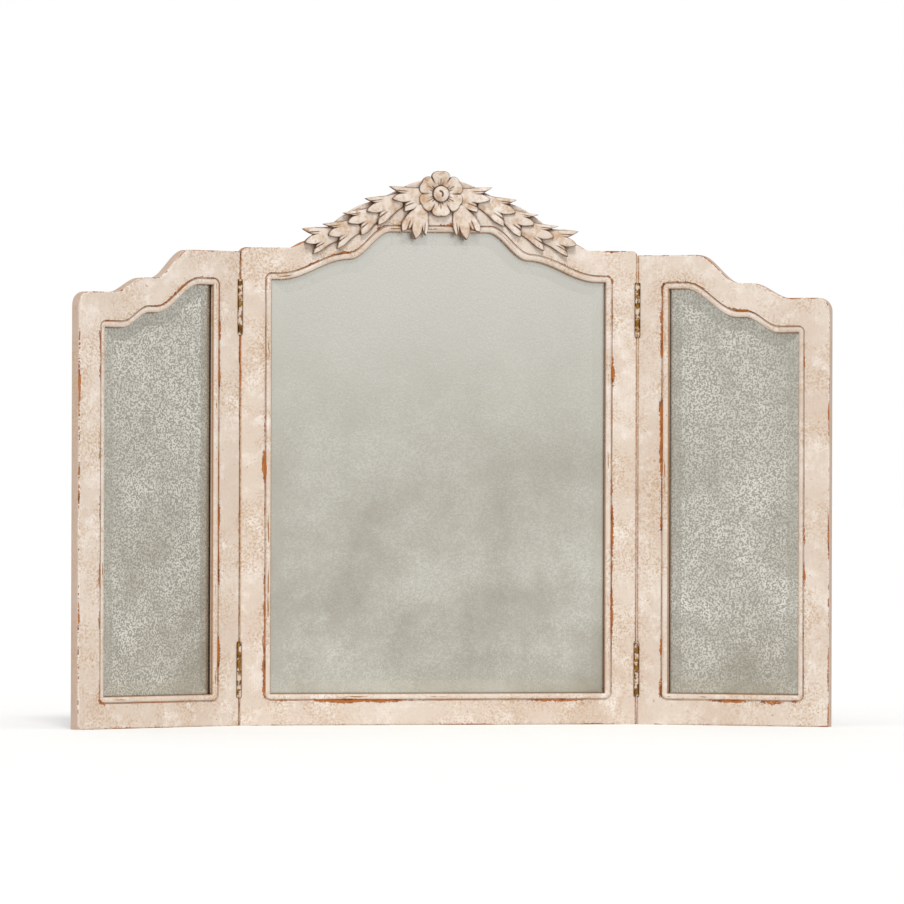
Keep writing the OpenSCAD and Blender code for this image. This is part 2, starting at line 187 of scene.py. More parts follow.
def closed_skin(x, z, front, back):
    """Points and quads of a face grid, a back grid of the same outline, and the rim between them."""
    rows, cols = x.shape
    face = np.stack([x, front, z], -1).reshape(-1, 3)
    rear = np.stack([x, back, z], -1).reshape(-1, 3)
    i = np.arange(rows * cols).reshape(rows, cols)
    edge = np.concatenate([i[0, :-1], i[:-1, -1], i[-1, :0:-1], i[:0:-1, 0]])
    ahead = np.roll(edge, -1)
    count = rows * cols
    rim = np.stack([edge, ahead, ahead + count, edge + count], -1)
    quads = grid_faces(rows, cols)
    faces = np.concatenate([quads, quads[:, ::-1] + count, rim])
    return np.concatenate([face, rear]), faces


# %% [markdown]
# ## The moulded section
# The rails are about 45 mm wide and 19 mm thick. Next to the glass a bead is rolled with a
# plane, a narrow groove called a quirk sets it off, and the outer edges are eased by hand.

# %% Section of a rail
BEAD_W, BEAD_CREST, SIGHT_DEPTH, GLASS_BACK = 8.0, 5.2, 5.0, 8.0
REBATES = [(7.75, FRONT + GLASS_BACK), (17.75, FRONT + 14.5)]
INNER = np.array([0, 0.3, 0.8, 1.4, 2.1, 2.9, 3.8, 4.8, 5.8, 6.7, 7.5, 8, 8.25, 8.6, 9, 9.35, 9.7, 10.3, 12,
                  14.5, 17.5, 18])
OUTER = np.array([9, 6.5, 4.6, 3.4, 2.6, 1.9, 1.3, 0.8, 0.4, 0.15, 0])


def moulding(d):
    """Depth of the face at distance d from the sight edge: an ellipse falls from the bead's crest to
    the glass, a smaller one rolls into the quirk, and a bump of cosine form cuts the quirk."""
    inner = 0.4 + (SIGHT_DEPTH - 0.4) * (1 - np.sqrt(np.clip(1 - ((BEAD_CREST - d) / BEAD_CREST) ** 2, 0, 1)))
    roll = 0.4 + 0.9 * (1 - np.sqrt(np.clip(1 - ((d - BEAD_CREST) / 2.8) ** 2, 0, 1)))
    bead = np.where(d < BEAD_CREST, inner, roll)
    quirk = 1.75 * smooth(10.4, 9.3, d)
    return np.where(d < BEAD_W, bead, np.maximum(quirk, 0))


def eased(e, r):
    """Depth of a rounded edge of radius r at distance e from it: r - sqrt(r^2 - (r - e)^2)."""
    gap = np.clip(r - e, 0, r)
    return r - np.sqrt(np.maximum(r * r - gap * gap, 0))


def corner_gap(a, b, r=4.0):
    """Distance from the nearer of two edges, with their corner rounded by r."""
    return np.minimum(np.minimum(a, b), r - np.hypot(np.clip(r - a, 0, None), np.clip(r - b, 0, None)))


print("section rows", len(INNER) + len(OUTER) + 4)


# %% [markdown]
# ## Stiles and rails
# A stile runs the full height and a rail is held between two of them by dowels. Seen as a grid,
# a stile has its rows up the panel and its columns across, and the bead turns the corner on it,
# so its depth follows the distance from the corner of the opening. A slow wave in the radius of
# the eased edges keeps them from looking machined.

# %% Build one member
ARRIS_R, BACK_ARRIS_R = 2.3, 1.2
FAR = 60.0  # a distance past any wear
GRAIN_STEP = 977  # moves each member to its own stretch of noise
BARREL_CLEAR = 3.6
NARROW_SEAM_GRIME_AND_SHADE = 2.2  # the left seam is seen edge on, and its grime and painted shade are narrower


def wave(s, seed):
    """Sum of three sines of unrelated lengths, between about -1 and 1."""
    return (np.sin(s / 31 + seed) + np.sin(s / 12.7 + 2.3 * seed) + 0.7 * np.sin(s / 5.1 + 4.1 * seed)) / 2.7


def member(name, x, z, d_round, d_square, edge, along, across, seed, side, hollow=None, arris_r=ARRIS_R):
    """Face depth = moulding + eased edge; back = the two rebates. side is 0 for the centre panel, 1 or
    -1 for the right or left wing."""
    radius = arris_r * (1 + 0.4 * wave(along, seed))
    front = FRONT + moulding(d_round) + eased(edge, radius)
    back = BACK - eased(edge, BACK_ARRIS_R + 0 * edge)
    for reach, depth in reversed(REBATES):
        back = np.where(d_square < reach, depth, back)
    if hollow is not None:
        front = np.maximum(front, hollow)
    front = np.minimum(front, back - 1)
    points, faces = closed_skin(x, z, front, back)
    width = across.max(axis=1, keepdims=True) + 0 * across
    hinged = hollow is not None
    thick = BACK - FRONT
    uv = np.stack([np.concatenate([along.ravel(), along.ravel()]) + GRAIN_STEP * seed,
                   np.concatenate([across.ravel(), (2 * width + thick - across).ravel()])], -1)
    sight = np.concatenate([d_round.ravel(), 0 * d_round.ravel() + FAR])
    arris = np.concatenate([-edge.ravel(), thick + edge.ravel()])
    if side:
        points[:, 0], points[:, 1] = swing(points[:, 0], points[:, 1])
        points[:, 0] *= side
    seam = (np.where(hinged, width - across, FAR) * (NARROW_SEAM_GRIME_AND_SHADE if side < 0 else 1)).ravel()
    seam = np.concatenate([seam, seam + thick])
    return new_mesh(name, points, faces, uv, {"sight": sight * MM, "arris": arris * MM, "seam": seam * MM})


def hinge_hollow(x, z, pin_x):
    """Front depth of the hollow that clears the barrel: a circle of radius BARREL_CLEAR about the pin."""
    dx = np.abs(x) - pin_x if pin_x > 0 else x - pin_x
    y = HINGE_LINE[1] + np.sqrt(np.clip(BARREL_CLEAR ** 2 - dx ** 2, 0, None))
    inside = np.zeros_like(x, bool)
    for low, high in HINGE_ROWS:
        inside |= (z > low - 0.3) & (z < high + 0.3)
    return np.where(inside & (np.abs(dx) < BARREL_CLEAR), y, -99.0)


print("waves ready", round(float(wave(np.array(100.0), 1)), 3))


# %% Stiles
def stile_rows(z0, z1, top):
    """Heights of a stile's rows: even steps, and the section's rows at both corners of the opening and
    at both ends."""
    even = np.arange(0, top, 3.5)
    rows = np.concatenate([even, z0 - INNER, z1 + INNER, OUTER, top - OUTER])
    rows = np.unique(np.round(rows[(rows >= 0) & (rows <= top)], 3))
    return rows[np.concatenate([[True], np.diff(rows) > 0.05])]


def make_stile(name, sight_x, out, width, z1, top_curve, radius, seed, side=0, hinge=None):
    """Columns run from the sight edge outwards, in the direction out, and the top has a round corner of
    the given radius. A stile with a hinge reaches a hair further, so that the seam is closed."""
    width += SEAM_CLOSER if hinge else 0
    c = np.concatenate([INNER, np.linspace(18, width - 9, 6)[1:-1], width - OUTER])
    top = float(curve_z(np.array(sight_x + out * width), top_curve))
    rows = stile_rows(RAIL_W, z1, top)
    rows[-1] = top
    cc, zz = np.meshgrid(c, rows)
    x = sight_x + out * cc
    drop = radius - np.sqrt(np.clip(radius ** 2 - np.clip(cc - (width - radius), 0, None) ** 2, 0, None))
    knee = z1 + INNER[-1] + 0.5
    z = np.where(zz > knee, knee + (zz - knee) * (top - drop - knee) / (top - knee), zz)
    dz = np.maximum(np.maximum(RAIL_W - z, z - z1), 0)
    d_round, d_square = np.hypot(cc, dz), np.maximum(cc, dz)
    edge = corner_gap(width - cc, corner_gap(top - drop - z, z))
    hollow = hinge_hollow(x, z, hinge) if hinge else None
    return member(name, x, z, d_round, d_square, edge, z, cc, seed, side, hollow,
                  SEAM_ARRIS_R if hinge else ARRIS_R)


# %% Rails
def make_rail(name, x0, x1, sight_curve, outer_curve, seed, side=0, step=2.0):
    """Rows run from the sight edge to the outer edge, columns along the rail. With no curves it is the
    bottom rail."""
    xs = np.linspace(x0, x1, int((x1 - x0) / step) + 1)
    if sight_curve is None:
        inner = RAIL_W - INNER[:, None] + 0 * xs
        outer = OUTER[:, None] + 0 * xs
    else:
        inner = np.stack([curve_z(xs, sight_curve, d) for d in INNER])
        outer = np.stack([curve_z(xs, outer_curve, -e) for e in OUTER])
    t = np.linspace(0, 1, 6)[1:-1, None]
    z = np.concatenate([inner, inner[-1] * (1 - t) + outer[0] * t, outer])
    x = xs + 0 * z
    d = np.concatenate([INNER, 20 + 4 * t[:, 0], 30 + 0 * OUTER])[:, None] + 0 * z
    edge = np.concatenate([30 + 0 * INNER, 20 + 0 * t[:, 0], OUTER])[:, None] + 0 * z
    across = np.abs(z - z[0])
    return member(name, x, z, d, d, edge, x, across, seed, side)


SEEDS = iter(np.arange(1, 20) * 0.83)
SEAM_ARRIS_R, SEAM_CLOSER = 0.4, 0.12
PIN_ON_CENTRE, PIN_ON_WING = HINGE_LINE[0], -WING_X0
centre_top = float(curve_z(np.array(SIGHT_X), ARCH_SIGHT))
woodwork = {
    "centre_left_stile_moulded": make_stile("centre_left_stile_moulded", -SIGHT_X, -1, STILE_W, centre_top,
                                            ARCH, CENTRE_CORNER_R, next(SEEDS), 0, PIN_ON_CENTRE),
    "centre_right_stile_moulded": make_stile("centre_right_stile_moulded", SIGHT_X, 1, STILE_W, centre_top,
                                             ARCH, CENTRE_CORNER_R, next(SEEDS), 0, PIN_ON_CENTRE),
    "centre_bottom_rail_moulded": make_rail("centre_bottom_rail_moulded", -SIGHT_X, SIGHT_X, None, None,
                                            next(SEEDS), 0, 4),
    "centre_top_rail_moulded": make_rail("centre_top_rail_moulded", -SIGHT_X, SIGHT_X, ARCH_SIGHT, ARCH,
                                         next(SEEDS)),
}
for word, side in (("left", -1), ("right", 1)):
    inner_x, outer_x = STILE_W, WING_W - STILE_W
    z_in, z_out = (float(curve_z(np.array(v), WING_SIGHT)) for v in (inner_x, outer_x))
    made = [
        make_stile(f"{word}_hinge_stile_moulded", inner_x, -1, STILE_W, z_in, WING_TOP, CORNER_R,
                   next(SEEDS), side, PIN_ON_WING),
        make_stile(f"{word}_outer_stile_moulded", outer_x, 1, STILE_W, z_out, WING_TOP, WING_CORNER_R,
                   next(SEEDS), side),
        make_rail(f"{word}_bottom_rail_moulded", inner_x, outer_x, None, None, next(SEEDS), side, 4),
        make_rail(f"{word}_top_rail_moulded", inner_x, outer_x, WING_SIGHT, WING_TOP, next(SEEDS), side),
    ]
    woodwork.update({p.name: p for p in made})
for name, piece in woodwork.items():
    node = name.replace("_moulded", "")
    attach(piece, "centre_panel" if node.startswith("centre") else node.split("_")[0] + "_wing")
    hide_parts(node)
print("woodwork", {n: len(p.data.polygons) for n, p in woodwork.items()})

# %% [markdown]
# ## Bevelled mirror glass
# Each plate is 5 mm thick and ground to a slope 26 mm wide along its edge. Two loops carry it: the
# plate's outline, and the same curve moved inwards to where the flat begins.

# %% Glass
BEVEL_W, BEVEL_DROP, GLASS_EDGE, GLASS_T = 26.0, 2.4, 7.5, 5.0


def glass_loop(x0, x1, sight_curve, out, n=97):
    """Bottom edge from left to right, then the curved top from right to left, moved outwards by out."""
    xs = np.linspace(x0 - out, x1 + out, n)
    bottom = RAIL_W - out + 0 * xs
    return np.concatenate([xs, xs[::-1]]), np.concatenate([bottom, curve_z(xs[::-1], sight_curve, out)])


def make_glass(name, x0, x1, sight_curve, side=0):
    """Rings from the back edge to the front edge and up the bevel, and strips across both flats."""
    face = FRONT + GLASS_BACK
    rings = [(GLASS_EDGE, face + GLASS_T), (GLASS_EDGE, face + BEVEL_DROP)]
    rings += [(GLASS_EDGE - BEVEL_W * k, face + BEVEL_DROP * (1 - k)) for k in (0.5, 0.97)]
    rings += [(GLASS_EDGE - BEVEL_W, face)]
    loops = [glass_loop(x0, x1, sight_curve, out) for out, _ in rings]
    count = len(loops[0][0])
    points = np.concatenate([np.stack([x, depth + 0 * x, z], -1) for (x, z), (_, depth) in zip(loops, rings)])
    i = np.arange(count)
    ahead = np.roll(i, -1)
    faces = [np.stack([i, ahead, ahead + count, i + count], -1) + k * count for k in range(len(rings) - 1)]
    j = np.arange(count // 2 - 1)
    strip = np.stack([j, j + 1, count - 2 - j, count - 1 - j], -1)
    faces = np.concatenate([*faces, strip[:, ::-1], strip + (len(rings) - 1) * count])
    slope = np.repeat([1, 1, 1, 1, 0.0], count)
    if side:
        points[:, 0], points[:, 1] = swing(points[:, 0], points[:, 1])
        points[:, 0] *= side
    return new_mesh(name, points, faces, None, {"bevel": slope}, 3)


glass = {"centre_mirror_glass": make_glass("centre_bevelled_glass", -SIGHT_X, SIGHT_X, ARCH_SIGHT)}
for word, side in (("left", -1), ("right", 1)):
    glass[f"{word}_mirror_glass"] = make_glass(f"{word}_bevelled_glass", STILE_W, WING_W - STILE_W,
                                               WING_SIGHT, side)
for node, piece in glass.items():
    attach(piece, "centre_panel" if node.startswith("centre") else node.split("_")[0] + "_wing")
    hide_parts(node)
print("glass", {n: len(p.data.polygons) for n, p in glass.items()})

# %% [markdown]
# ## The garland
# The husks are carved from one strip and glued to the arch, like shingles: each starts under the
# tips of its neighbour nearer the rosette. One husk is a fan that opens from its root into three
# pointed lobes. A grid suits it: s goes across the fan and t from the root to the outline.

# %% Shape of a husk
TIP_S, NOTCH_S = 0.8, 0.4
# glaze and painted shade on the sides of each carved piece, where it meets the rail
BACK_GLAZE_AND_SHADE = 0.45


def reach(s, notch, side_reach):
    """Outline of the fan as a share of its length: 1 at the three tips (s = -0.8, 0, 0.8), notch halfway
    between them, and side_reach at the two sides."""
    middle = np.abs(s) < NOTCH_S
    lobe = np.abs(np.abs(s) - np.where(middle, 0, TIP_S)) / NOTCH_S
    inward = 1 - (1 - notch) * lobe ** np.where(middle, 1.35, 0.95)
    outward = 1 - (1 - side_reach) * (np.clip(np.abs(s) - TIP_S, 0, None) / (1 - TIP_S)) ** 1.2
    return np.where(np.abs(s) > TIP_S, outward, inward)


def husk(root, tips, root_w, bulge, low, high, notch=0.71, side_reach=0.6, crown=2.6, shoulder=0.0):
    """Points run from the root line to a curve through the three tips, pushed out sideways by
    bulge * sin(pi rho); shoulder rounds the root's corners. The height is a ramp from low to high, a
    crown over the whole fan, a dome on each lobe, a valley below each notch and a cut rib down each
    side lobe. The outline is rounded over 1.8 mm."""
    ends = np.array([-1.0, 1.0]) * 0.995
    s = np.unique(np.concatenate([np.linspace(-1, 1, 73), ends, [-TIP_S, -NOTCH_S, 0, NOTCH_S, TIP_S]]))
    t = np.unique(np.concatenate([np.linspace(0, 0.84, 18), 1 - 0.16 * np.linspace(1, 0, 14) ** 1.6]))
    ss, tt = np.meshgrid(s, t)
    rho = tt * reach(ss, notch, side_reach)
    root, (a, b, c) = np.array(root, float), (np.array(p, float) for p in tips)
    axis = (b - root) / np.linalg.norm(b - root)
    normal = np.array([-axis[1], axis[0]])
    if np.dot(normal, c - a) < 0:
        normal = -normal
    u = ss[..., None] / TIP_S
    to_tips = b + u * (c - a) / 2 + u * u * ((a + c) / 2 - b)
    from_root = root + ss[..., None] * root_w * normal + ss[..., None] ** 2 * shoulder * axis
    p = rho[..., None]
    place = (1 - p) * from_root + p * to_tips + bulge * np.sin(np.pi * p) * ss[..., None] * normal
    length = np.linalg.norm(b - root)
    half = np.linalg.norm(c - a) / 2
    gap = np.minimum((reach(ss, notch, side_reach) - rho) * length * 0.8,
                     (1 - np.abs(ss)) * (root_w + (half - root_w) * rho) * 1.2)
    lobe = (np.abs(ss) - np.where(np.abs(ss) > NOTCH_S, TIP_S, 0)) / NOTCH_S
    valley = np.exp(-(((np.abs(ss) - NOTCH_S) / 0.06) ** 2)) * smooth(notch - 0.25, notch, rho)
    rib = np.exp(-(((np.abs(ss) - 0.6) / 0.045) ** 2)) * smooth(0.42, 0.6, rho) * smooth(0.92, 0.78, rho)
    height = low + (high - low) * rho + crown * (1 - ss ** 2)
    height = height + 1.3 * (1 - lobe ** 2) * smooth(0.45, 0.85, rho)
    height = height - 0.9 * valley - 0.7 * rib - eased(gap, 1.8) * 0.85
    # crease is how far glaze and painted shade darken the outline, the valleys and the ribs
    crease = np.clip(np.exp(-gap / 1.2) + valley * 0.8 + rib * 0.9, 0, 1)
    return place[..., 0], place[..., 1], np.maximum(height, 0.6), crease


def carved(name, parts, mirror=False):
    """One mesh of several carved skins; each has x, z, height above the rail's face, and crease."""
    points, faces, crease, start = [], [], [], 0
    for x, z, height, line in parts:
        p, f = closed_skin(x, z, FRONT - height, FRONT + 0.3 + 0 * x)
        if volume(p, f) < 0:
            f = f[:, ::-1]
        points.append(p)
        faces.append(f + start)
        crease.append(np.concatenate([line.ravel(), BACK_GLAZE_AND_SHADE + 0 * line.ravel()]))
        start += len(p)
    points = np.concatenate(points)
    if mirror:
        points[:, 0] *= -1
    return new_mesh(name, points, np.concatenate(faces), None, {"crease": np.concatenate(crease)}, 50)


# %% Garlands and bellflowers
# (root, outer tip, middle tip, inner tip) of each husk on the left, as x and z
GARLAND = [
    ((-148, 700), (-200.3, 705), (-197, 685.5), (-185, 669)),
    ((-118, 711), (-171, 712), (-163.5, 696), (-150, 677)),
    ((-89, 730), (-142, 728), (-135, 714), (-115.5, 696.5)),
    ((-57, 748), (-110, 749), (-108, 731), (-91.5, 711)),
    ((-18, 755), (-74.5, 766.5), (-71, 748.5), (-53.5, 731)),
]
BELL = ((-28, 741), (-56.5, 702.5), (-37, 691.5), (-22, 697))
husks = [husk(root, tips, 11, -3.0, 1.6, 6.4) for root, *tips in GARLAND]
bell = husk(BELL[0], BELL[1:], 11, 1.5, 2.0, 6.2, 0.72, 0.7, 3.4, 7.0)
crest = {}
for word, flip in (("left", False), ("right", True)):
    crest[f"{word}_garland"] = carved(f"{word}_garland_husks", husks, flip)
    crest[f"{word}_bellflower"] = carved(f"{word}_bellflower_carved", [bell], flip)
print("carving", {n: len(p.data.polygons) for n, p in crest.items()})

# %% [markdown]
# ## The rosette
# Six petals open round a button. In polar form the outline is one circle with a dip between
# petals, and each petal is a shallow dish with a raised lip and two tool cuts. The button is a
# dome with a crescent pressed into it.

# %% Rosette
ROSETTE_Z = (extent("rosette_button")[0][2] + extent("rosette_button")[1][2]) / 2
BUTTON_R = (extent("rosette_button")[1][0] - extent("rosette_button")[0][0]) / 2
ROSETTE_R = (extent("rosette_petals")[1][2] - extent("rosette_petals")[0][2]) / 2 + 1
PETALS = 6
TOOL_CUTS = [(0, 24), (-0.38, 19), (0.38, 19)]  # place across a petal, and where the cut ends


def polar_piece(name, outline, height, crease, base, rings):
    """A closed skin from a centre point, rings of radius rho * outline(angle), and a flat back."""
    angle = np.linspace(0, 2 * np.pi, 288, endpoint=False)
    rho, theta = np.meshgrid(rings, angle, indexing="ij")
    r = rho * outline(theta)
    x, z = r * np.cos(theta), r * np.sin(theta)
    h = height(r, theta, x, z)
    rows, cols = r.shape
    top = np.stack([x, FRONT - h, z + ROSETTE_Z], -1).reshape(-1, 3)
    edge = np.stack([x[-1], FRONT - base + 0 * x[-1], z[-1] + ROSETTE_Z], -1)
    hub = np.array([[0, FRONT - height(np.zeros(1), np.zeros(1), np.zeros(1), np.zeros(1))[0], ROSETTE_Z],
                    [0, FRONT - base, ROSETTE_Z]])
    points = np.concatenate([top, edge, hub])
    i = np.arange((rows + 1) * cols).reshape(rows + 1, cols)
    j = np.roll(i, -1, axis=1)
    quads = np.stack([i[:-1], i[1:], j[1:], j[:-1]], -1).reshape(-1, 4)
    n = len(points)
    fans = [np.stack([0 * i[0] + n - 2, i[0], j[0]], -1), np.stack([0 * i[0] + n - 1, j[-1], i[-1]], -1)]
    line = np.concatenate([crease(r, theta, x, z).ravel(), 0 * x[-1] + BACK_GLAZE_AND_SHADE, [0, 0]])
    return new_mesh(name, points, quads, None, {"crease": line}, 50, fans)


def petal_turn(theta):
    """Angle from the middle of the nearest petal, -1 to 1 at the gaps."""
    width = 2 * np.pi / PETALS
    return ((theta - np.pi / 2 + width / 2) % width - width / 2) / (width / 2)


def petal_outline(theta):
    a = np.abs(petal_turn(theta))
    return ROSETTE_R * (1 - 0.17 * a ** 4 - 0.03 * np.exp(-((a / 0.16) ** 2)))


def petal_marks(r, theta):
    """Gap between petals, three tool cuts in each petal, and the outline's edge."""
    a = petal_turn(theta)
    gap = np.exp(-((((1 - np.abs(a)) * r * np.pi / PETALS) / 1.0) ** 2)) * smooth(11, 26, r)
    cut = sum(np.exp(-(((a - k) * r * np.pi / PETALS / 0.8) ** 2)) * smooth(end, end - 4, r)
              for k, end in TOOL_CUTS)
    rim = np.exp(-(petal_outline(theta) - r) / 0.8)
    return gap, cut * smooth(10, 12, r), rim


def petal_height(r, theta, x, z):
    a = petal_turn(theta)
    gap, cut, rim = petal_marks(r, theta)
    dish = 4.6 + 3.0 * smooth(11, 27, r) * (1 - 0.35 * a ** 2)
    lip = 0.8 * np.exp(-(((petal_outline(theta) - r - 2.2) / 1.4) ** 2))
    return dish + lip - 2.4 * gap - 0.8 * cut - 0.9 * eased(petal_outline(theta) - r, 2.0)


# glaze and painted shade in the gaps, the tool cuts, round the outline and at the button's foot
def petal_crease(r, theta, x, z):
    gap, cut, rim = petal_marks(r, theta)
    return np.clip(gap + 0.7 * cut + rim + np.exp(-(((r - BUTTON_R) / 1.2) ** 2)), 0, 1)


def crescent(x, z):
    """A curved nick: near a circle of radius 4.4, on its right half only."""
    r, a = np.hypot(x + 2.8, z + 0.6), np.arctan2(z + 0.6, x + 2.8)
    return np.exp(-(((r - 4.4) / 1.5) ** 2)) * smooth(1.6, 1.0, np.abs(a - 0.4))


def button_height(r, theta, x, z):
    q = np.clip(r / BUTTON_R, 0, 1)
    return 6.0 + 6.6 * np.sqrt(np.clip(1 - q ** 2.4, 0, 1)) - 1.5 * crescent(x, z)


def button_crease(r, theta, x, z):
    return np.clip(0.9 * crescent(x, z) + smooth(0.9, 1.0, r / BUTTON_R), 0, 1)


petal_rings = np.unique(np.concatenate([np.linspace(0.2, 0.92, 40), np.linspace(0.92, 1, 14)]))
button_rings = np.unique(np.concatenate([np.linspace(0.04, 0.8, 26),
                                         np.sin(np.linspace(0.93, np.pi / 2, 14))]))
crest["rosette_petals"] = polar_piece("rosette_petals_carved", petal_outline, petal_height, petal_crease,
                                      -0.3, petal_rings)
crest["rosette_button"] = polar_piece("rosette_button_carved", lambda t: BUTTON_R + 0 * t, button_height,
                                      button_crease, 2, button_rings)
for node, piece in crest.items():
    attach(piece, "centre_panel")
    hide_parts(node)
print("rosette", ROSETTE_R, "button", BUTTON_R, "at", round(ROSETTE_Z, 1))

# %% [markdown]
# ## Finishes
# Colours are written as they look, in sRGB, and turned to the linear values a shader needs. One
# helper adds any node: its settings by name, and its inputs in the order the node shows them.

# %% Colours and the node helper
def shade(code):
    """Linear colour of an sRGB hex code: c / 12.92 below 0.04045, else ((c + 0.055) / 1.055) ^ 2.4."""
    c = np.array([int(code[i:i + 2], 16) for i in (1, 3, 5)]) / 255
    c = np.where(c < 0.04045, c / 12.92, ((c + 0.055) / 1.055) ** 2.4)
    return (*[float(v) for v in c], 1.0)


def fill(tree, socket, value):
    """Links a node's first output in use, or one output, to a socket; any other value is set on it."""
    if isinstance(value, bpy.types.Node):
        value = next(o for o in value.outputs if o.enabled)
    if isinstance(value, bpy.types.NodeSocket):
        tree.links.new(value, socket)
    else:
        socket.default_value = value


def add(tree, kind, *inputs, **settings):
    """Adds a node with its settings, and fills its inputs in use in order; None leaves one as it is."""
    node = tree.nodes.new("ShaderNode" + kind)
    for key, value in settings.items():
        setattr(node, key, value)
    for socket, value in zip([s for s in node.inputs if s.enabled], inputs):
        if value is not None:
            fill(tree, socket, value)
    return node


def start(name):
    """A new node material: the material, its tree, its shader, and its Object coordinates."""
    material = bpy.data.materials.new(name)
    material.use_nodes = True
    tree = material.node_tree
    return material, tree, tree.nodes["Principled BSDF"], add(tree, "TexCoord").outputs["Object"]


def dress(tree, body, colour, rough, height, strength, depth):
    """Colour, roughness and a bump of the given depth in metres on the shader."""
    fill(tree, body.inputs["Base Color"], colour)
    fill(tree, body.inputs["Roughness"], rough)
    bump = add(tree, "Bump", strength, depth)
    fill(tree, bump.inputs["Height"], height)
    fill(tree, body.inputs["Normal"], bump)


print("cream paint is", [round(v, 3) for v in shade("#E2D6CB")])

# %% [markdown]
# ## Distressed paint
# The frame is pine, stained brown, with a buff undercoat and cream chalk paint over it. Rubbing
# took the paint off where a hand and sandpaper reach first: along the eased edges and both lips of
# the quirk, in broken dashes, with chips beside them. Three numbers on each point, its distance
# from the arris, from the sight edge and from the hinge seam, say where those lines run, and noise
# stretched along the wood breaks them up.

# %% Layers of paint
CREAM, CREAM_PINK, CREAM_PALE = shade("#DDD0C3"), shade("#D0BEAE"), shade("#EBE3DB")
# the last of these browns is glaze, and painted shade as well in cuts and sheltered corners
BUFF, GOLDEN, BROWN_GLAZE_AND_SHADE = shade("#B08759"), shade("#96652F"), shade("#5F3716")
SIDE_SHADE_AND_BACK_TONE = shade("#B79C89")
WOOD_RED, WOOD_DARK = shade("#AC6526"), shade("#5E3417")
CHALK_IOR = 1.48
QUIRK_AT, BEAD_AT = 0.0092, 0.0046


def cream_paint(tree, place):
    """Cloudy cream for the eye to rest on: slow clouds 140 mm wide and paler blotches of 30 mm."""
    slow = add(tree, "TexNoise", place, 7, 5, 0.6)
    clouds = add(tree, "MapRange", slow, 0.38, 0.64)
    spots = add(tree, "TexNoise", place, 33, 6, 0.7)
    blotch = add(tree, "MapRange", spots, 0.5, 0.7)
    colour = add(tree, "Mix", clouds, CREAM, CREAM_PINK, data_type="RGBA")
    return add(tree, "Mix", blotch, colour, CREAM_PALE, data_type="RGBA")


def along_grain(tree, uv, stretch, scale, detail, rough, shift=0.0):
    """Noise on the wood's own coordinates, its spots longer along the grain by stretch."""
    drawn = add(tree, "Mapping", uv, (shift, shift, 0), None, (1, stretch, 1))
    return add(tree, "TexNoise", drawn, scale, detail, rough)


